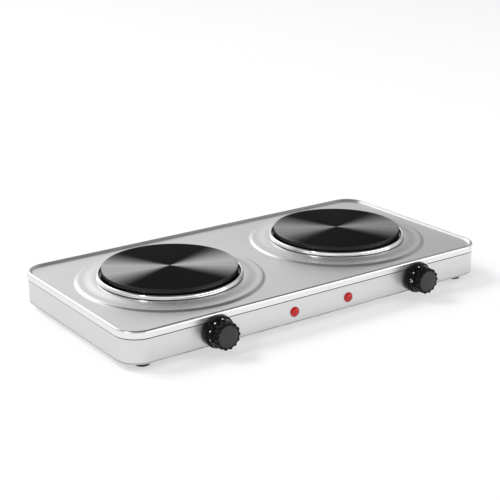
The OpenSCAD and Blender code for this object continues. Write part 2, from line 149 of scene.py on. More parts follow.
def finish_piece(obj, name, body, slot, material, *replaced):
    obj.name = name
    obj.data.name = name
    obj.data.materials.clear()
    obj.data.materials.append(material)
    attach(obj, body)
    if replaced:
        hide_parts(*replaced)
    print(name, len(obj.data.polygons), "faces")
    return obj


def copy_piece(obj):
    twin = obj.copy()
    twin.data = obj.data.copy()
    bpy.context.scene.collection.objects.link(twin)
    return twin


def round_corner(before, corner, after, radius, steps=4):
    """Points of the arc that rounds one corner of an outline."""
    a, c, b = Vector(before), Vector(corner), Vector(after)
    to_a, to_b = (a - c).normalized(), (b - c).normalized()
    half = to_a.angle(to_b) / 2
    reach = radius / math.tan(half)
    centre = c + (to_a + to_b).normalized() * (radius / math.sin(half))
    start, end = c + to_a * reach - centre, c + to_b * reach - centre
    sweep = start.angle_signed(end)
    points = []
    for i in range(steps + 1):
        angle = -sweep * i / steps
        cosine, sine = math.cos(angle), math.sin(angle)
        turned = Vector((start.x * cosine - start.y * sine, start.x * sine + start.y * cosine))
        points.append(tuple(centre + turned))
    return points


def rounded_outline(corners, closed=False):
    """corners is a list of (radius from axis, height, rounding)."""
    points = []
    count = len(corners)
    for i, (x, z, rounding) in enumerate(corners):
        at_end = not closed and i in (0, count - 1)
        if rounding == 0 or at_end:
            points.append((x, z))
            continue
        before = corners[i - 1][:2]
        after = corners[(i + 1) % count][:2]
        points += round_corner(before, (x, z), after, rounding)
    return points


def turned(points, steps=96, closed=False):
    """Spins an outline of (radius, height) points once round the Z axis at the origin."""
    bpy.ops.object.select_all(action="DESELECT")
    bpy.ops.mesh.primitive_plane_add(size=1)
    obj = bpy.context.object
    bpy.ops.object.mode_set(mode="EDIT")
    bpy.ops.mesh.delete(type="VERT")
    bm = bmesh.from_edit_mesh(obj.data)
    chain = [bm.verts.new((x, 0, z)) for x, z in points]
    for a, b in zip(chain, chain[1:] + (chain[:1] if closed else [])):
        if a is not b:
            bm.edges.new((a, b))
    bmesh.update_edit_mesh(obj.data)
    bpy.ops.mesh.select_all(action="SELECT")
    bpy.ops.mesh.spin(steps=steps, angle=2 * math.pi, center=(0, 0, 0), axis=(0, 0, 1))
    bpy.ops.object.mode_set(mode="OBJECT")
    clean(obj, 2e-6)
    return obj


def move_to(obj, place, facing=None):
    """Puts a piece made round +Z at its place; facing turns its +Z to that direction."""
    obj.location = place
    if facing is not None:
        obj.rotation_mode = "QUATERNION"
        obj.rotation_quaternion = Vector(facing).to_track_quat("Z", "Y")
    set_place(obj)
    return obj


print("helpers ready")

# %% [markdown]
# Materials are short chains of plain nodes. Every one starts from Object coordinates, and every
# piece keeps its place in its mesh, so the grain stays where it is as a knob turns. The helpers
# here make a Principled material and join noise, scratches and bumps to it.


# %% Helpers for materials
class Finish:
    """A Principled material, with short calls for the nodes that go into it."""

    def __init__(self, name, color, roughness, metallic=0.0, **sockets):
        self.material = bpy.data.materials.new(name)
        self.material.use_nodes = True
        self.tree = self.material.node_tree
        self.shader = self.tree.nodes["Principled BSDF"]
        self.set("Base Color", (*color, 1))
        self.set("Roughness", roughness)
        self.set("Metallic", metallic)
        for socket, value in sockets.items():
            self.set(socket.replace("_", " "), value)
        self.coordinates = self.add("ShaderNodeTexCoord").outputs["Object"]

    def set(self, socket, value):
        self.shader.inputs[socket].default_value = value

    def add(self, kind, **inputs):
        node = self.tree.nodes.new(kind)
        for name, value in inputs.items():
            socket = node.inputs[name.replace("_", " ")]
            if isinstance(value, bpy.types.NodeSocket):
                self.tree.links.new(value, socket)
            else:
                socket.default_value = value
        return node

    def join(self, output, socket):
        self.tree.links.new(output, self.shader.inputs[socket])

    def place(self, centre=(0, 0, 0), scale=(1, 1, 1)):
        """Object coordinates measured from centre, stretched by scale."""
        moved = self.add("ShaderNodeMapping", Vector=self.coordinates)
        moved.inputs["Location"].default_value = [-c * s for c, s in zip(centre, scale)]
        moved.inputs["Scale"].default_value = scale
        return moved.outputs[0]

    def noise(self, scale, detail=4.0, stretch=(1, 1, 1), vector=None):
        where = self.place(scale=stretch) if vector is None else vector
        return self.add("ShaderNodeTexNoise", Vector=where, Scale=scale, Detail=detail).outputs["Fac"]

    def spread(self, value, low, high, from_low=0.0, from_high=1.0):
        node = self.add("ShaderNodeMapRange", Value=value)
        node.inputs["From Min"].default_value = from_low
        node.inputs["From Max"].default_value = from_high
        node.inputs["To Min"].default_value = low
        node.inputs["To Max"].default_value = high
        return node.outputs[0]

    def math(self, operation, a, b=0.0):
        node = self.add("ShaderNodeMath")
        node.operation = operation
        for socket, value in zip(node.inputs, (a, b)):
            if isinstance(value, bpy.types.NodeSocket):
                self.tree.links.new(value, socket)
            else:
                socket.default_value = value
        return node.outputs[0]

    def blend(self, factor, dark, light):
        node = self.add("ShaderNodeMix")
        node.data_type = "RGBA"
        self.tree.links.new(factor, node.inputs[0])
        for socket, value in ((node.inputs[6], dark), (node.inputs[7], light)):
            if isinstance(value, bpy.types.NodeSocket):
                self.tree.links.new(value, socket)
            else:
                socket.default_value = (*value, 1)
        return node.outputs[2]

    def bump(self, height, strength, distance):
        node = self.add("ShaderNodeBump", Height=height, Strength=strength, Distance=distance)
        self.join(node.outputs[0], "Normal")


def mottled(name, color, roughness, metallic=0.0, grain=900, depth=0.00003, variation=0.12, **sockets):
    """A plain finish with slight mottling of its colour, sheen and surface."""
    finish = Finish(name, color, roughness, metallic, **sockets)
    cloud = finish.noise(45, 5)
    light = [min(1, c * (1 + variation)) for c in color]
    dark = [c * (1 - variation) for c in color]
    finish.join(finish.blend(finish.spread(cloud, 0, 1, 0.3, 0.7), dark, light), "Base Color")
    finish.join(finish.spread(cloud, roughness * 0.85, min(1, roughness * 1.15), 0.3, 0.7), "Roughness")
    finish.bump(finish.noise(grain, 3), 0.5, depth)
    return finish.material


print("material helpers ready")

# %% [markdown]
# Brushed stainless steel carries thousands of hair lines along the length of the sheet. A noise
# stretched along X gives them, once in the roughness, which breaks up reflections, and once in a
# very shallow bump. A second, cloudy noise keeps large areas from looking printed.


# %% Brushed steel
def brushed_steel(name, color, roughness, line_strength, seam=None):
    """seam is the (low, high) height of a band along a joint, where the colour is painted dark as a painted
    shadow.
    """
    finish = Finish(name, color, roughness, 1.0)
    lines = finish.noise(900, 3, stretch=(0.012, 1, 1))
    fine = finish.noise(2600, 2, stretch=(0.006, 1, 1))
    cloud = finish.noise(9, 3)
    both = finish.math("MULTIPLY", finish.math("ADD", lines, fine), 0.5)
    dark = [c * 0.965 for c in color]
    light = [min(1, c * 1.03) for c in color]
    tone = finish.blend(finish.spread(both, 0, 1, 0.35, 0.65), dark, light)
    # Within the seam band the colour is painted dark: a painted shadow under the skirt's hem.
    if seam:
        height = finish.add("ShaderNodeSeparateXYZ", Vector=finish.coordinates).outputs["Z"]
        above = finish.math("GREATER_THAN", height, seam[0])
        below = finish.math("LESS_THAN", height, seam[1])
        tone = finish.blend(finish.math("MULTIPLY", above, below), tone, PAINTED_SEAM_SHADOW)
    finish.join(tone, "Base Color")
    uneven = finish.spread(cloud, -0.03, 0.03, 0.3, 0.7)
    mixed = finish.math("ADD", finish.spread(both, -0.05, 0.05, 0.35, 0.65), uneven)
    finish.join(finish.math("ADD", mixed, roughness), "Roughness")
    finish.bump(both, line_strength, 0.00002)
    return finish.material


# The colour of the painted shadow under the skirt's hem, and half the height of its band.
PAINTED_SEAM_SHADOW = (0.06, 0.06, 0.06)
SEAM_HEIGHT = 0.0014
skirt_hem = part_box("top_panel")[0].z
lid_steel = brushed_steel("brushed_lid_steel", (0.80, 0.80, 0.805), roughness=0.32, line_strength=0.12)
# The wall is the same steel as the lid, given a darker tone as painted shade on the upright walls.
wall_steel = brushed_steel(
    "brushed_wall_steel", (0.68, 0.68, 0.685), roughness=0.36, line_strength=0.15,
    seam=(skirt_hem - SEAM_HEIGHT, skirt_hem + SEAM_HEIGHT))
print(lid_steel.name, wall_steel.name)

# %% [markdown]
# The lid is one pressing: a skirt, a rolled rim, a sunken floor and a raised surround for each
# plate. It starts as a flat rectangle with bevelled corners. Extruding it raises the skirt, and a
# chain of insets, each a little further in and up or down, follows the rim's round section. The
# sheet then gets its thickness, two discs are cut out, and a turned surround fills each hole.

# %% Sizes of the lid
MM = 0.001
lid_low, lid_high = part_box("top_panel")
case_centre = (lid_low + lid_high) / 2
case_w = lid_high.x - lid_low.x
case_d = lid_high.y - lid_low.y
hem_z = lid_low.z
plate_low, plate_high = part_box("left_hot_plate")
right_low, right_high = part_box("right_hot_plate")
plate_r = (plate_high.x - plate_low.x) / 2
plate_top = plate_high.z
plate_centres = {
    "left": Vector(((plate_low.x + plate_high.x) / 2, (plate_low.y + plate_high.y) / 2, 0)),
    "right": Vector(((right_low.x + right_high.x) / 2, (right_low.y + right_high.y) / 2, 0)),
}
ring_low, ring_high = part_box("left_trim_ring")
seat_z = ring_low.z
plateau_z = seat_z - 1.9 * MM
floor_z = plateau_z - 2.0 * MM
crest_z = floor_z + 2.5 * MM
corner_r = 27 * MM
rim_r = 2.6 * MM
sheet_t = 0.8 * MM
print("lid", round(case_w, 4), round(case_d, 4), "plate radius", round(plate_r, 4))


# %% Rounded sheet blank
def rounded_blank(width, depth, radius, z, segments=20):
    bpy.ops.object.select_all(action="DESELECT")
    bpy.ops.mesh.primitive_plane_add(size=1, location=(case_centre.x, case_centre.y, z))
    obj = bpy.context.object
    obj.scale = (width, depth, 1)
    set_place(obj)
    bpy.ops.object.mode_set(mode="EDIT")
    bpy.ops.mesh.select_all(action="SELECT")
    bpy.ops.mesh.bevel(offset=radius, segments=segments, profile=0.5, affect="VERTICES")
    return obj


def raise_face(height):
    bpy.ops.mesh.extrude_region_move(TRANSFORM_OT_translate={"value": (0, 0, height)})


def raise_outline(height):
    """Lifts only the blank's outline, which leaves its first end open, and closes the new end."""
    bpy.ops.mesh.delete(type="ONLY_FACE")
    bpy.ops.mesh.select_all(action="SELECT")
    raise_face(height)
    bpy.ops.mesh.edge_face_add()


def step_in(inward, upward):
    bpy.ops.mesh.inset(thickness=inward, depth=upward, use_even_offset=True)


print("blank helpers ready")


# %% The lid's skirt, rim and floor
def rim_section(points):
    """Insets that follow a chain of (distance in, height) points."""
    for (x0, z0), (x1, z1) in zip(points, points[1:]):
        step_in(x1 - x0, z1 - z0)


def rim_points():
    """Outer quarter of the roll, then a shallow S down to the floor."""
    points = []
    for i in range(9):
        angle = math.radians(90 * i / 8)
        points.append((rim_r * (1 - math.cos(angle)), crest_z - rim_r + rim_r * math.sin(angle)))
    slope_start, slope_end = rim_r + 0.4 * MM, rim_r + 3.6 * MM
    for i in range(9):
        t = i / 8
        ease = t * t * (3 - 2 * t)
        points.append((slope_start + (slope_end - slope_start) * t, crest_z - (crest_z - floor_z) * ease))
    points.append((slope_end + 1.5 * MM, floor_z))
    return points


lid = rounded_blank(case_w, case_d, corner_r, hem_z)
raise_outline(0.6 * MM)
raise_face(crest_z - rim_r - hem_z - 1.2 * MM)
raise_face(0.6 * MM)
rim_section(rim_points())
clean(lid)
apply_modifier(lid, "SOLIDIFY", thickness=sheet_t, offset=-1)
print("lid blank", len(lid.data.polygons), "faces")


# %% Cutting with turned tools
def cut(obj, tool):
    apply_modifier(obj, "BOOLEAN", object=tool, operation="DIFFERENCE", solver="EXACT")
    bpy.data.objects.remove(tool)


def round_tool(radius, length, place, facing=(0, 0, 1), vertices=128):
    bpy.ops.object.select_all(action="DESELECT")
    bpy.ops.mesh.primitive_cylinder_add(vertices=vertices, radius=radius, depth=length)
    return move_to(bpy.context.object, place, facing)


HOLE_STEPS = 128


def open_hole(obj, centre, radius):
    """Takes away the cut edge of a round hole, so that another sheet can join there.

    The cut may leave an extra point partway along one of the hole's short sides. Such a point
    moves to the nearest corner, where it is merged later.
    """
    select_only(obj)
    bpy.ops.object.mode_set(mode="EDIT")
    bpy.ops.mesh.select_mode(type="FACE")
    bm = bmesh.from_edit_mesh(obj.data)
    rim_verts = set()
    step = 2 * math.pi / HOLE_STEPS
    for vert in bm.verts:
        x, y = vert.co.x - centre.x, vert.co.y - centre.y
        if abs(math.hypot(x, y) - radius) < 0.05 * MM:
            rim_verts.add(vert)
            turn = round(math.atan2(y, x) / step) * step
            vert.co.x = centre.x + radius * math.cos(turn)
            vert.co.y = centre.y + radius * math.sin(turn)
    for face in bm.faces:
        face.select_set(all(vert in rim_verts for vert in face.verts))
    bmesh.update_edit_mesh(obj.data)
    bpy.ops.mesh.delete(type="FACE")
    bpy.ops.mesh.select_mode(type="VERT")
    bpy.ops.object.mode_set(mode="OBJECT")


SURROUND_R = plate_r + 33 * MM
for centre in plate_centres.values():
    cut(lid, round_tool(SURROUND_R, 0.03, (centre.x, centre.y, floor_z), vertices=HOLE_STEPS))
    open_hole(lid, centre, SURROUND_R)
print("lid cut", len(lid.data.polygons), "faces")


# %% The surround of each plate
def s_curve(r0, z0, r1, z1, steps=8):
    points = []
    for i in range(steps + 1):
        t = i / steps
        points.append((r0 + (r1 - r0) * t, z0 + (z1 - z0) * t * t * (3 - 2 * t)))
    return points


def surround(centre):
    top = [(SURROUND_R, floor_z), (plate_r + 31.5 * MM, floor_z)]
    top += s_curve(plate_r + 30.5 * MM, floor_z, plate_r + 26 * MM, plateau_z)
    top += s_curve(plate_r + 22 * MM, plateau_z, plate_r + 7 * MM, seat_z, 14)
    top.append((plate_r - 2.5 * MM, seat_z))
    under = [(r, z - sheet_t) for r, z in reversed(top)]
    obj = turned(top + under, steps=HOLE_STEPS)
    return move_to(obj, (centre.x, centre.y, 0))


surrounds = [surround(centre) for centre in plate_centres.values()]
select_only(lid)
for obj in surrounds:
    obj.select_set(True)
bpy.ops.object.join()
clean(lid, 1e-5, outward=False)
smooth(lid, 40)
finish_piece(lid, "pressed_lid", "case", "lid_steel", lid_steel, "top_panel")

# %% [markdown]
# The wall is one strip of the same steel folded round the case. It stands a sheet's thickness
# inside the skirt, and its lower edge turns in to carry the bottom plate. Holes for the two
# thermostat bushes, the lamps and the mains cord, and rows of rear louvres, are cut through it.

# %% The wall
wall_low, wall_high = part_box("housing")
wall_w = wall_high.x - wall_low.x
wall_d = wall_high.y - wall_low.y
wall_r = corner_r - (case_w - wall_w) / 2
fold_r = 0.8 * MM
front_y = wall_low.y
rear_y = wall_high.y


def folded_wall():
    """Drops a blank's outline to make the wall, then steps it inwards round the fold."""
    obj = rounded_blank(wall_w, wall_d, wall_r, wall_high.z)
    raise_outline(-(wall_high.z - wall_low.z - fold_r))
    for i in range(6):
        a0, a1 = math.radians(15 * i), math.radians(15 * (i + 1))
        inward = fold_r * (math.cos(a0) - math.cos(a1))
        downward = fold_r * (math.sin(a1) - math.sin(a0))
        step_in(inward, -downward)
    step_in(8 * MM, 0)
    bpy.ops.mesh.delete(type="FACE")
    bpy.ops.object.mode_set(mode="OBJECT")
    return obj


wall = folded_wall()
clean(wall)
apply_modifier(wall, "SOLIDIFY", thickness=sheet_t, offset=-1)

knob_low, knob_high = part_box("left_knob")
lens_low, lens_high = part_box("left_lamp_lens")
bushing_low, bushing_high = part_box("cord_bushing")
knob_x = -(knob_low.x + knob_high.x) / 2
knob_z = (knob_low.z + knob_high.z) / 2
lamp_x = -(lens_low.x + lens_high.x) / 2
lamp_z = (lens_low.z + lens_high.z) / 2
cord_x = (bushing_low.x + bushing_high.x) / 2
cord_z = (bushing_low.z + bushing_high.z) / 2
FORWARD, BACKWARD = (0, -1, 0), (0, 1, 0)
LOUVRE_COUNT = 8
LOUVRE_PITCH = 9 * MM
LOUVRE_ROW_X = 130.5 * MM


def louvre_tool(x, z):
    """A standing slot with round ends, deep enough to pass through the wall."""
    bpy.ops.object.select_all(action="DESELECT")
    bpy.ops.mesh.primitive_plane_add(size=1)
    obj = bpy.context.object
    obj.scale = (3 * MM, 15 * MM, 1)
    set_place(obj)
    bpy.ops.object.mode_set(mode="EDIT")
    bpy.ops.mesh.select_all(action="SELECT")
    bpy.ops.mesh.bevel(offset=1.49 * MM, segments=6, profile=0.5, affect="VERTICES")
    raise_face(10 * MM)
    clean(obj)
    return move_to(obj, (x, rear_y - 5 * MM, z), BACKWARD)


for side in (-1, 1):
    cut(wall, round_tool(5.1 * MM, 0.01, (side * knob_x, front_y, knob_z), FORWARD, 48))
    cut(wall, round_tool(4.9 * MM, 0.01, (side * lamp_x, front_y, lamp_z), FORWARD, 48))
    for i in range(LOUVRE_COUNT):
        offset = (i - (LOUVRE_COUNT - 1) / 2) * LOUVRE_PITCH
        cut(wall, louvre_tool(side * LOUVRE_ROW_X + offset, cord_z + 1 * MM))
cut(wall, round_tool(7.0 * MM, 0.01, (cord_x, rear_y, cord_z), BACKWARD, 48))
print("wall", len(wall.data.polygons), "faces", [round(v, 4) for v in wall.dimensions])
smooth(wall, 35)
finish_piece(wall, "folded_wall", "case", "wall_steel", wall_steel, "housing")

# %% [markdown]
# A cooking plate is a grey-iron casting, turned flat on a lathe and then blackened. The tool
# leaves fine rings about the centre, and light that rakes along them draws two bright fans
# through the middle. The shader has an anisotropic sheen with a radial tangent for that, but
# nearly all of the fans' brightness here is paint: the metal's own tone changes with the angle
# round the axis. Their width, and each plate's angle and tone, were fitted to the main view. Real
# fans are reflections, which move with the eye and the lamps, and paint stays where it is. Making
# them from a strong lamp and a higher anisotropy alone is left to do.
# Two edges bound each fan. The unit vector that points away from the axis is compared with both,
# and the product of the two results is above zero only inside a fan, so there is no seam. Noise
# on the same vector breaks the fans into streaks.


# %% Turned iron
FAN_HALF_WIDTH = math.radians(49)
FAN_SOFTNESS = 1.75
RING_PITCH = 0.45 * MM
IRON_TONE = (0.018, 0.018, 0.019)
SIDE_TONE = (0.04, 0.04, 0.04)
WORN_EDGE = (0.12, 0.12, 0.12)


def fan_shape(finish, outward, fan_turn):
    """Rises from 0 outside two opposite fans to 1 along the middle of each."""
    sides = []
    for sign in (1, -1):
        edge = math.radians(fan_turn) - sign * FAN_HALF_WIDTH
        side = finish.add("ShaderNodeVectorMath", Vector=outward)
        side.operation = "DOT_PRODUCT"
        side.inputs[1].default_value = (-sign * math.sin(edge), sign * math.cos(edge), 0)
        sides.append(side.outputs["Value"])
    inside = finish.math("MULTIPLY", *sides)
    streaks = finish.noise(2.6, 6, vector=outward)
    inside = finish.math("ADD", inside, finish.spread(streaks, -0.02, 0.02, 0.3, 0.7))
    highest = math.sin(FAN_HALF_WIDTH) ** 2
    share = finish.math("DIVIDE", finish.math("MAXIMUM", inside, 0.0), highest)
    return finish.math("POWER", share, FAN_SOFTNESS)


def turned_iron(name, centre, ring_pitch, radius, fan_turn, fan_tone):
    finish = Finish(name, IRON_TONE, 0.3, 1.0, Anisotropic=0.45, Specular_Tint=(0.45, 0.45, 0.45, 1))
    tangent = finish.add("ShaderNodeTangent")
    tangent.direction_type = "RADIAL"
    tangent.axis = "Z"
    finish.join(tangent.outputs[0], "Tangent")
    around = finish.place(centre=(centre.x, centre.y, 0), scale=(1, 1, 0))
    length = finish.add("ShaderNodeVectorMath", Vector=around)
    length.operation = "LENGTH"
    distance = length.outputs["Value"]
    outward = finish.add("ShaderNodeVectorMath", Vector=around)
    outward.operation = "NORMALIZE"
    outward = outward.outputs["Vector"]
    fan = fan_shape(finish, outward, fan_turn)
    bands = finish.add("ShaderNodeCombineXYZ", X=distance).outputs[0]
    uneven = finish.noise(700, 3, vector=bands)
    fine_streaks = finish.noise(14, 3, vector=outward)
    sheen = finish.math("MULTIPLY", fan, finish.spread(uneven, 0.86, 1.0, 0.3, 0.7))
    sheen = finish.math("MULTIPLY", sheen, finish.spread(fine_streaks, 0.8, 1.0, 0.35, 0.65))
    height = finish.add("ShaderNodeSeparateXYZ", Vector=finish.coordinates).outputs["Z"]
    near_top = finish.spread(height, 0, 1, plate_top - 1.0 * MM, plate_top - 0.6 * MM)
    tone = finish.blend(sheen, IRON_TONE, (fan_tone,) * 3)
    tone = finish.blend(near_top, SIDE_TONE, tone)
    near_rim = finish.spread(distance, 0, 1, radius - 1.2 * MM, radius - 0.9 * MM)
    edge = finish.math("MULTIPLY", near_rim, near_top)
    finish.join(finish.blend(edge, tone, WORN_EDGE), "Base Color")
    finish.join(finish.spread(uneven, 0.26, 0.36, 0.25, 0.75), "Roughness")
    rings = finish.math("SINE", finish.math("MULTIPLY", distance, 2 * math.pi / ring_pitch))
    finish.bump(finish.math("ADD", finish.math("MULTIPLY", rings, 0.4), uneven), 0.25, 0.00001)
    return finish.material


# The turn of each plate's fans in degrees, and the tone along their middle.
FANS = {"left": (-23, 0.98), "right": (-29, 0.75)}
plate_iron = {
    side: turned_iron(f"turned_iron_{side}", centre, RING_PITCH, plate_r, *FANS[side])
    for side, centre in plate_centres.items()
}
print(list(plate_iron))

# %% The cooking plates
CAVITY_Z = plate_top - 8 * MM
SKIRT_FOOT_Z = plate_low.z
PLATE_BASE_Z = seat_z + sheet_t


def cooking_plate():
    edge, wall_out, wall_in = plate_r, plate_r - 4 * MM, plate_r - 8.5 * MM
    outline = [
        (0, plate_top, 0), (0.4 * MM, plate_top, 0), (edge / 2, plate_top, 0),
        (edge - 3 * MM, plate_top, 0), (edge - 1.1 * MM, plate_top, 0.25 * MM),
        (edge, plate_top - 1.1 * MM, 0.35 * MM), (edge, PLATE_BASE_Z, 0.5 * MM),
        (wall_out, PLATE_BASE_Z, 0), (wall_out, SKIRT_FOOT_Z, 0.5 * MM),
        (wall_in, SKIRT_FOOT_Z, 0.5 * MM), (wall_in, CAVITY_Z, 1.5 * MM),
        (11 * MM, CAVITY_Z, 1.5 * MM), (11 * MM, SKIRT_FOOT_Z, 0.4 * MM),
        (3 * MM, SKIRT_FOOT_Z, 0), (3 * MM, CAVITY_Z, 0), (0, CAVITY_Z, 0),
    ]
    return turned(rounded_outline(outline), steps=160)


for side, centre in plate_centres.items():
    plate = move_to(cooking_plate(), (centre.x, centre.y, 0))
    smooth(plate, 35)
    finish_piece(plate, f"{side}_cooking_plate", "case", "cast_plate", plate_iron[side], f"{side}_hot_plate")

# %% [markdown]
# The trim ring is thin bright steel, rolled over into a bead. It hides the edge of the hole in
# the lid and stands a little clear of the plate, so a dark gap shows between the two. Its
# section is a closed outline with every corner rounded, turned once round the plate's axis.


# %% Bright ring
def polished_steel(name, foot_z):
    """Bright steel, painted dark along its foot where it meets the lid, as painted shade."""
    finish = Finish(name, (0.9, 0.9, 0.91), 0.09, 1.0)
    smear = finish.noise(60, 4)
    finish.join(finish.spread(smear, 0.07, 0.14, 0.35, 0.7), "Roughness")
    bright = finish.blend(smear, (0.86, 0.86, 0.87), (0.94, 0.94, 0.95))
    height = finish.add("ShaderNodeSeparateXYZ", Vector=finish.coordinates).outputs["Z"]
    # Below a ragged line near the foot the colour is painted dark: painted shade where the ring meets the
    # lid.
    ragged = finish.math("ADD", height, finish.spread(finish.noise(90, 3), -0.2 * MM, 0.2 * MM))
    clear = finish.spread(ragged, 0, 1, foot_z + 0.8 * MM, foot_z + 1.2 * MM)
    finish.join(finish.blend(clear, (0.05, 0.05, 0.048), bright), "Base Color")
    finish.bump(finish.noise(1500, 2), 0.1, 0.000005)
    return finish.material


bright_steel = polished_steel("polished_ring_steel", seat_z)
ring_out = (ring_high.x - ring_low.x) / 2
ring_top = ring_high.z


def trim_ring():
    outer, inner, skin = ring_out, ring_out - 4 * MM, 0.6 * MM
    outline = [
        (outer, seat_z, 0.2 * MM), (outer - 0.5 * MM, ring_top, 1.7 * MM), (inner, ring_top, 1.6 * MM),
        (inner, seat_z + sheet_t, 0.4 * MM), (plate_r - 1.5 * MM, seat_z + sheet_t, 0.2 * MM),
        (plate_r - 1.5 * MM, seat_z, 0.2 * MM), (inner + skin, seat_z, 0.3 * MM),
        (inner + skin, ring_top - skin, 1.1 * MM), (outer - skin - 0.4 * MM, ring_top - skin, 1.1 * MM),
        (outer - skin, seat_z, 0.1 * MM),
    ]
    return turned(rounded_outline(outline, closed=True), steps=160, closed=True)


for side, centre in plate_centres.items():
    ring = move_to(trim_ring(), (centre.x, centre.y, 0))
    smooth(ring, 50)
    finish_piece(ring, f"{side}_ring", "case", "bright_ring", bright_steel, f"{side}_trim_ring")

# %% [markdown]
# A knob is one moulding of black plastic: a flange, a smooth collar that carries the printed
# dial, and a fluted grip. The flange and collar are turned. The grip starts as a disc whose rim
# points are drawn in, flute by flute, and is then extruded forwards with a bevelled front edge.
# A separate crowned disc closes the front.


# %% Plastics
def moulded_plastic(name, color, roughness, shine, grain_depth=0.000006):
    finish = Finish(name, color, roughness, Specular_IOR_Level=shine)
    cloud = finish.noise(160, 4)
    finish.join(finish.blend(cloud, [c * 0.8 for c in color], [c * 1.3 for c in color]), "Base Color")
    finish.join(finish.spread(cloud, roughness * 0.8, roughness * 1.25, 0.3, 0.7), "Roughness")
    finish.bump(finish.noise(1800, 3), 0.35, grain_depth)
    return finish.material


knob_plastic = moulded_plastic("moulded_black_knob", (0.003, 0.003, 0.0033), 0.12, 0.12)
cap_plastic = moulded_plastic("satin_cap", (0.012, 0.012, 0.013), 0.28, 0.5, 0.00001)
dial_paint = mottled("white_dial_paint", (0.85, 0.85, 0.83), 0.5, variation=0.05)
print(knob_plastic.name, cap_plastic.name)

# %% Knob sizes, measured forwards from the wall
knob_flange_r = (knob_high.x - knob_low.x) / 2
KNOB_BACK = front_y - knob_high.y
KNOB_FRONT = front_y - knob_low.y
cap_low, cap_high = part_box("left_knob_cap")
CAP_FRONT = front_y - cap_low.y
cap_r = (cap_high.x - cap_low.x) / 2
CAP_CROWN = 0.8 * MM
FLANGE_END = KNOB_BACK + 4.8 * MM
COLLAR_END = FLANGE_END + 5.6 * MM
GRIP_R = 15.2 * MM
FLUTES = 14
POINTS_PER_FLUTE = 14
FLUTE_CUT_R = 3.2 * MM
FLUTE_DEPTH = 1.3 * MM
print("knob from", round(KNOB_BACK, 4), "to", round(KNOB_FRONT, 4))


# %% Flange and collar
def knob_collar():
    outline = [
        (12 * MM, KNOB_BACK, 0), (knob_flange_r - 0.3 * MM, KNOB_BACK, 0.3 * MM),
        (knob_flange_r, KNOB_BACK + 2.4 * MM, 0.3 * MM),
        (knob_flange_r - 0.5 * MM, KNOB_BACK + 2.6 * MM, 0.1 * MM),
        (knob_flange_r - 0.5 * MM, FLANGE_END, 0.6 * MM),
        (GRIP_R + 0.8 * MM, FLANGE_END + 0.1 * MM, 0.7 * MM), (GRIP_R + 0.3 * MM, COLLAR_END, 0.5 * MM),
        (GRIP_R * 0.9, COLLAR_END + 0.4 * MM, 0), (11.8 * MM, COLLAR_END + 0.4 * MM, 0),
        (12 * MM, COLLAR_END - 1 * MM, 0),
    ]
    return turned(rounded_outline(outline), steps=96, closed=True)


# %% Fluted grip
def flute_share(step):
    """How far a rim point is drawn in by a round cutter, as a share of the grip's radius."""
    pitch = 2 * math.pi / FLUTES
    angle = pitch * (step / POINTS_PER_FLUTE - 0.5)
    cutter = GRIP_R - FLUTE_DEPTH + FLUTE_CUT_R
    inside = FLUTE_CUT_R ** 2 - (cutter * math.sin(angle)) ** 2
    if inside <= 0:
        return 1.0
    return min(1.0, (cutter * math.cos(angle) - math.sqrt(inside)) / GRIP_R)


def select_rim_step(obj, chosen):
    """Selects the rim points whose number round the circle, within its flute, is in chosen."""
    bm = bmesh.from_edit_mesh(obj.data)
    whole = FLUTES * POINTS_PER_FLUTE
    for vert in bm.verts:
        number = round(math.atan2(vert.co.y, vert.co.x) / (2 * math.pi) * whole) % POINTS_PER_FLUTE
        vert.select_set(number in chosen)
    bm.select_flush_mode()
    bmesh.update_edit_mesh(obj.data)


def fluted_grip():
    bpy.ops.object.select_all(action="DESELECT")
    bpy.ops.mesh.primitive_circle_add(vertices=FLUTES * POINTS_PER_FLUTE, radius=GRIP_R, fill_type="NGON")
    obj = bpy.context.object
    obj.location.z = COLLAR_END - 0.5 * MM
    set_place(obj)
    bpy.ops.object.mode_set(mode="EDIT")
    bpy.ops.mesh.select_mode(type="VERT")
    for step in range(1, POINTS_PER_FLUTE // 2 + 1):
        share = flute_share(step)
        bpy.ops.mesh.select_all(action="DESELECT")
        select_rim_step(obj, {step, POINTS_PER_FLUTE - step})
        bpy.ops.transform.resize(value=(share, share, 1), center_override=(0, 0, 0))
    bpy.ops.mesh.select_mode(type="FACE")
    bpy.ops.mesh.select_all(action="SELECT")
    length = KNOB_FRONT - COLLAR_END
    raise_face(length - 0.6 * MM)
    for inward, forward in ((0.08 * MM, 0.3 * MM), (0.2 * MM, 0.22 * MM), (0.3 * MM, 0.08 * MM)):
        bpy.ops.mesh.inset(thickness=inward, depth=forward, use_even_offset=False)
    bpy.ops.mesh.extrude_region_move(TRANSFORM_OT_translate={"value": (0, 0, 0)})
    flat = (cap_r + 0.05 * MM) / (GRIP_R - 0.6 * MM)
    bpy.ops.transform.resize(value=(flat, flat, 1), center_override=(0, 0, 0))
    raise_face(-1.2 * MM)
    bpy.ops.object.mode_set(mode="OBJECT")
    return obj


def rounded_cap():
    outline = [
        (0, CAP_FRONT - 1.2 * MM, 0), (cap_r, CAP_FRONT - 1.2 * MM, 0),
        (cap_r, CAP_FRONT - 0.9 * MM, 0.2 * MM),
    ]
    outline = rounded_outline(outline)[:-1]
    for i in range(13):
        share = 1 - i / 12
        outline.append((cap_r * share, CAP_FRONT - CAP_CROWN * share ** 2))
    return turned(outline, steps=96)


# %% [markdown]
# The dial is printed on the collar in white: a zero, and then dots that grow from low heat to
# high. The marks are thin raised shapes bent to the collar's round, so they stay sharp close up.

# %% Dial marks
DIAL_R = GRIP_R + 0.62 * MM
DIAL_AT = 9.6 * MM
DOT_COUNT = 7
DOT_STEP = 36
MARK_T = 0.06 * MM


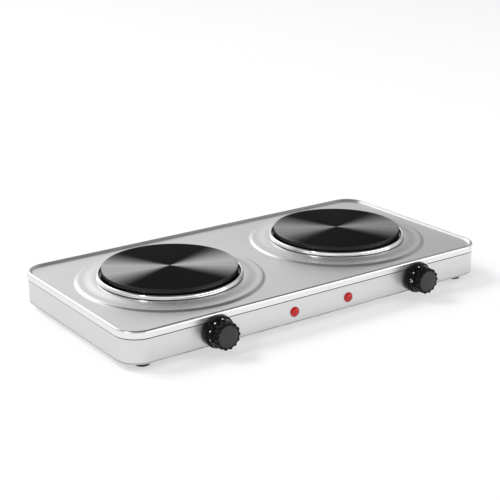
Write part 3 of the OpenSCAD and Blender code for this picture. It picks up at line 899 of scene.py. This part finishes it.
def wrap_round(obj, angle):
    """Bends a flat mark, drawn in XY, round the collar at an angle; its up points forwards."""
    for vert in obj.data.vertices:
        turn = math.radians(angle) + vert.co.x / DIAL_R
        r = DIAL_R + vert.co.z
        vert.co = (r * math.cos(turn), r * math.sin(turn), DIAL_AT + vert.co.y)
    return obj


def dial_dot(radius):
    bpy.ops.object.select_all(action="DESELECT")
    bpy.ops.mesh.primitive_circle_add(vertices=24, radius=radius, fill_type="TRIFAN")
    obj = bpy.context.object
    apply_modifier(obj, "SOLIDIFY", thickness=MARK_T, offset=1)
    return obj


def dial_zero():
    points = [(1.1 * MM, 0), (1.75 * MM, 0), (1.75 * MM, MARK_T), (1.1 * MM, MARK_T)]
    obj = turned(points, steps=32, closed=True)
    obj.scale = (1, 1.45, 1)
    set_place(obj)
    return obj


def dial(zero_angle):
    marks = [wrap_round(dial_zero(), zero_angle)]
    for i in range(DOT_COUNT):
        size = (0.85 + 0.14 * i) * MM
        marks.append(wrap_round(dial_dot(size), zero_angle - DOT_STEP * (i + 1)))
    select_only(marks[0])
    for mark in marks:
        mark.select_set(True)
    bpy.ops.object.join()
    return marks[0]


# %% Both knobs
# Where each dial's zero stands, in degrees round the collar.
ZERO_ANGLE = {"left": 231, "right": 178}
collar_master, grip_master, cap_master = knob_collar(), fluted_grip(), rounded_cap()
select_only(collar_master)
grip_master.select_set(True)
bpy.ops.object.join()
smooth(collar_master, 32)
smooth(cap_master, 30)
for side, sign in (("left", -1), ("right", 1)):
    place = (sign * knob_x, front_y, knob_z)
    body = f"{side}_control"
    knob = move_to(copy_piece(collar_master), place, FORWARD)
    finish_piece(knob, f"{side}_fluted_knob", body, "knob_plastic", knob_plastic, f"{side}_knob")
    cap = move_to(copy_piece(cap_master), place, FORWARD)
    finish_piece(cap, f"{side}_crowned_cap", body, "cap_plastic", cap_plastic, f"{side}_knob_cap")
    marks = move_to(dial(ZERO_ANGLE[side]), place, FORWARD)
    smooth(marks, 30)
    finish_piece(marks, f"{side}_dial_marks", body, "knob_plastic", dial_paint)
for master in (collar_master, cap_master):
    bpy.data.objects.remove(master)

# %% [markdown]
# Each pilot lamp shows only its lens: a red plastic dome with a thin rim. Most of its colour is
# in the surface here, with a little transmission. A cell pattern in the colour and the bump
# stands for the small facets inside. The dome's colour is also painted darker where it slants
# away from the eye: painted shade.


# %% Red lens
def lens_plastic(name):
    finish = Finish(name, (0.85, 0.006, 0.012), 0.06, Transmission_Weight=0.12, IOR=1.49)
    cells = finish.add("ShaderNodeTexVoronoi", Vector=finish.coordinates, Scale=650)
    tone = finish.spread(cells.outputs["Distance"], 0, 1, 0.1, 0.7)
    facets = finish.blend(tone, (0.95, 0.008, 0.016), (0.35, 0.001, 0.003))
    # Painted shade: the colour darkens where the dome slants away from the eye.
    slant = finish.add("ShaderNodeLayerWeight", Blend=0.5).outputs["Facing"]
    deep = finish.spread(slant, 0, 1, 0.35, 0.85)
    finish.join(finish.blend(deep, facets, (0.12, 0.0, 0.002)), "Base Color")
    finish.bump(cells.outputs["Distance"], 0.2, 0.0003)
    return finish.material


red_lens = lens_plastic("red_lens_plastic")
lens_r = (lens_high.x - lens_low.x) / 2
LENS_FRONT = front_y - lens_low.y


def lamp_lens():
    rim, barrel = 0.8 * MM, 4.8 * MM
    top = [(lens_r - 0.5 * MM, rim)]
    dome = LENS_FRONT - rim
    for i in range(1, 11):
        angle = math.radians(9 * i)
        top.append(((lens_r - 0.5 * MM) * math.cos(angle), rim + dome * math.sin(angle)))
    inner = [(0, LENS_FRONT - 1.3 * MM), (3.2 * MM, rim), (3.9 * MM, -0.5 * MM), (3.9 * MM, -14 * MM)]
    outer = [(barrel, -14 * MM), (barrel, 0), (lens_r, 0), (lens_r, rim * 0.7), (lens_r - 0.25 * MM, rim)]
    return turned(inner + outer + top, steps=64)


for side, sign in (("left", -1), ("right", 1)):
    lens = move_to(lamp_lens(), (sign * lamp_x, front_y, lamp_z), FORWARD)
    smooth(lens, 40)
    finish_piece(lens, f"{side}_domed_lens", "case", "red_lens", red_lens, f"{side}_lamp_lens")

# %% [markdown]
# Rubber parts are matt black with a fine grain. The feet taper and are rounded where they meet
# the table. The cord bushing grips the wall in a groove, and its mouth flares so that a cord
# isn't cut.

# %% Rubber
rubber = mottled("moulded_rubber", (0.02, 0.02, 0.021), 0.75, grain=1400, depth=0.00005, variation=0.25)


def rubber_foot(low, high):
    top_r = (high.x - low.x) / 2
    outline = [
        (2.1 * MM, 3.2 * MM, 0), (4.3 * MM, 3.2 * MM, 0.4 * MM), (4.3 * MM, 0, 0.3 * MM),
        (top_r - 1.6 * MM, 0, 0.9 * MM), (top_r, high.z, 0.3 * MM), (2.1 * MM, high.z, 0),
    ]
    return turned(rounded_outline(outline, closed=True), steps=64, closed=True)


for corner in ("front_left", "front_right", "rear_left", "rear_right"):
    low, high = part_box(f"{corner}_foot")
    foot = move_to(rubber_foot(low, high), ((low.x + high.x) / 2, (low.y + high.y) / 2, 0))
    smooth(foot, 35)
    finish_piece(foot, f"{corner}_rubber_foot", "case", "rubber_foot", rubber, f"{corner}_foot")


# %% Cord bushing
def bushing():
    bore, neck, lip = 3.6 * MM, 6.95 * MM, 9.5 * MM
    outline = [
        (bore, -3.8 * MM, 0.5 * MM), (8.6 * MM, -3.8 * MM, 0.8 * MM), (8.6 * MM, -0.8 * MM, 0.2 * MM),
        (neck, -0.8 * MM, 0), (neck, 0, 0), (lip, 0, 0.2 * MM), (lip - 0.6 * MM, 2.5 * MM, 0.9 * MM),
        (bore + 1.2 * MM, 2.5 * MM, 0.5 * MM), (bore, 1.2 * MM, 0.5 * MM),
    ]
    return turned(rounded_outline(outline, closed=True), steps=64, closed=True)


grommet = move_to(bushing(), (cord_x, rear_y, cord_z), BACKWARD)
smooth(grommet, 35)
finish_piece(grommet, "flared_cord_bushing", "case", "rubber_foot", rubber, "cord_bushing")

# %% [markdown]
# The pieces inside and below keep their CAD shapes, which are plain but whole, and take a finish
# that suits what each is made of: spangled zinc on the sheets, plated screws, turned brass,
# fired ceramic, bronze and braided sleeves.


# %% Finishes for the CAD pieces
def zinc_sheet(name):
    finish = Finish(name, (0.6, 0.61, 0.63), 0.45, 1.0)
    spangle = finish.add("ShaderNodeTexVoronoi", Vector=finish.coordinates, Scale=110)
    tone = finish.add("ShaderNodeSeparateColor", Color=spangle.outputs["Color"]).outputs[0]
    finish.join(finish.blend(tone, (0.5, 0.51, 0.53), (0.68, 0.69, 0.71)), "Base Color")
    finish.join(finish.spread(tone, 0.38, 0.55), "Roughness")
    finish.bump(finish.noise(700, 3), 0.2, 0.00002)
    return finish.material


def braided_sleeve(name, color):
    finish = Finish(name, color, 0.85)
    weave = finish.add("ShaderNodeTexWave", Vector=finish.coordinates, Scale=420, Distortion=3)
    finish.join(finish.blend(weave.outputs["Fac"], [c * 0.6 for c in color], color), "Base Color")
    finish.bump(weave.outputs["Fac"], 0.6, 0.0001)
    return finish.material


CAD_FINISHES = {
    "zinc_sheet": zinc_sheet("spangled_zinc"),
    "zinc_steel": mottled("plated_steel", (0.62, 0.63, 0.64), 0.35, 1.0),
    "brass_parts": mottled("turned_brass", (0.72, 0.53, 0.22), 0.3, 1.0),
    "element_ceramic": mottled("pressed_ceramic", (0.75, 0.72, 0.66), 0.85, grain=500, depth=0.0002),
    "steatite": mottled("fired_steatite", (0.86, 0.83, 0.76), 0.55),
    "heating_wire": mottled("oxidised_wire", (0.3, 0.22, 0.18), 0.5, 1.0, variation=0.3),
    "bimetal": mottled("rolled_bimetal", (0.5, 0.47, 0.44), 0.35, 1.0),
    "bronze_leaf": mottled("rolled_bronze", (0.62, 0.4, 0.22), 0.3, 1.0),
    "nylon": mottled("moulded_nylon", (0.85, 0.83, 0.76), 0.5),
    "neon_glass": mottled("neon_glass", (0.9, 0.6, 0.35), 0.1, variation=0.05, Transmission_Weight=0.8),
    "white_sleeve": braided_sleeve("white_braid", (0.8, 0.79, 0.75)),
    "red_sleeve": braided_sleeve("red_braid", (0.5, 0.08, 0.06)),
}
slot_of = {part["node"]: part["material_slot"] for part in frame["record"]["subparts"]}
dressed = 0
for name, node in nodes.items():
    if slot_of[name] in CAD_FINISHES:
        for place in node.material_slots:
            place.material = CAD_FINISHES[slot_of[name]]
        dressed += 1
print(dressed, "CAD pieces dressed")

# %% [markdown]
# The studio is a light table: a pale floor that glows a little from below, so that shadows stay
# soft and light. Polished and brushed steel show only what they reflect, and need both bright
# and dark things round them, or their shapes look flat. So the sky is bright near the horizon
# and dark overhead, with one large white window behind the appliance and darker patches on the
# right. Each of these is a soft patch round a direction, measured with a dot product. The back
# and fill lamps light the scene but are hidden from reflections, which no real lamp can be. The
# glint and front lamps are mirrored. From behind, the front lamp's reflection washes out the
# lid, which is left to mend.

# %% Floor
FLOOR_GLOW = 0.42
bpy.ops.object.select_all(action="DESELECT")
bpy.ops.mesh.primitive_plane_add(size=24, location=(0, 0, 0))
floor = bpy.context.object
floor.name = "studio_floor"
floor_finish = Finish("light_table", (0.6, 0.6, 0.6), 0.7, Specular_IOR_Level=0.1)
floor_finish.set("Emission Strength", FLOOR_GLOW)
floor_finish.set("Emission Color", (1, 1, 1, 1))
floor_tone = floor_finish.blend(floor_finish.noise(3, 2), (0.59, 0.59, 0.59), (0.61, 0.61, 0.61))
floor_finish.join(floor_tone, "Base Color")
floor.data.materials.append(floor_finish.material)


# %% Sky
def direction(azimuth, elevation):
    """Azimuth is measured from straight behind the appliance, positive to the right."""
    a, e = math.radians(azimuth), math.radians(elevation)
    return Vector((math.sin(a) * math.cos(e), math.cos(a) * math.cos(e), math.sin(e)))


class Sky:
    """The world shader, built up from soft patches."""

    def __init__(self, low, high, low_end, high_start):
        world = bpy.data.worlds.new("studio_sky")
        world.use_nodes = True
        bpy.context.scene.world = world
        self.tree = world.node_tree
        self.background = self.tree.nodes["Background"]
        self.looking = self.tree.nodes.new("ShaderNodeTexCoord").outputs["Generated"]
        split = self.tree.nodes.new("ShaderNodeSeparateXYZ")
        self.tree.links.new(self.looking, split.inputs[0])
        self.level = self.ramp(split.outputs["Z"], low_end, high_start, low, high)

    def ramp(self, value, start, end, low, high):
        node = self.tree.nodes.new("ShaderNodeMapRange")
        node.interpolation_type = "SMOOTHSTEP"
        self.tree.links.new(value, node.inputs["Value"])
        for name, number in (("From Min", start), ("From Max", end), ("To Min", low), ("To Max", high)):
            node.inputs[name].default_value = number
        return node.outputs[0]

    def patch(self, operation, towards, inner, outer, outside, inside):
        """Changes the level by operation, from outside beyond outer degrees to inside within inner."""
        dot = self.tree.nodes.new("ShaderNodeVectorMath")
        dot.operation = "DOT_PRODUCT"
        dot.inputs[1].default_value = towards
        self.tree.links.new(self.looking, dot.inputs[0])
        start, end = math.cos(math.radians(outer)), math.cos(math.radians(inner))
        shade = self.ramp(dot.outputs["Value"], start, end, outside, inside)
        node = self.tree.nodes.new("ShaderNodeMath")
        node.operation = operation
        self.tree.links.new(self.level, node.inputs[0])
        self.tree.links.new(shade, node.inputs[1])
        self.level = node.outputs[0]

    def finish(self):
        self.tree.links.new(self.level, self.background.inputs["Color"])


sky = Sky(low=0.85, high=0.14, low_end=0.48, high_start=0.82)
sky.patch("MULTIPLY", direction(68, 34), inner=12, outer=34, outside=1.0, inside=0.5)
sky.patch("MULTIPLY", direction(66, 3), inner=8, outer=24, outside=1.0, inside=0.5)
sky.patch("ADD", direction(-6, 32), inner=12, outer=26, outside=0.0, inside=1.2)
sky.patch("MULTIPLY", direction(46, 3), inner=5, outer=14, outside=1.0, inside=0.4)
sky.finish()
print("sky ready")


# %% Lamps
def soft_lamp(name, azimuth, elevation, distance, size, power, mirrored=True):
    data = bpy.data.lights.new(name, "AREA")
    data.shape = "RECTANGLE"
    data.size, data.size_y = size
    data.energy = power
    lamp = bpy.data.objects.new(name, data)
    place = direction(azimuth, elevation)
    lamp.location = place * distance
    lamp.rotation_euler = place.to_track_quat("Z", "Y").to_euler()
    lamp.visible_glossy = mirrored
    bpy.context.scene.collection.objects.link(lamp)


soft_lamp("back_lamp", -40, 50, 7.0, size=(3.1, 2.3), power=230, mirrored=False)
soft_lamp("glint_lamp", -100, 40, 3.0, size=(0.3, 0.3), power=12)
soft_lamp("fill_lamp", 140, 50, 5.0, size=(2.5, 2.0), power=30, mirrored=False)
soft_lamp("front_lamp", 147, 16, 4.0, size=(4.0, 1.9), power=30)
bpy.context.scene.view_settings.view_transform = "Standard"
print("lamps placed")
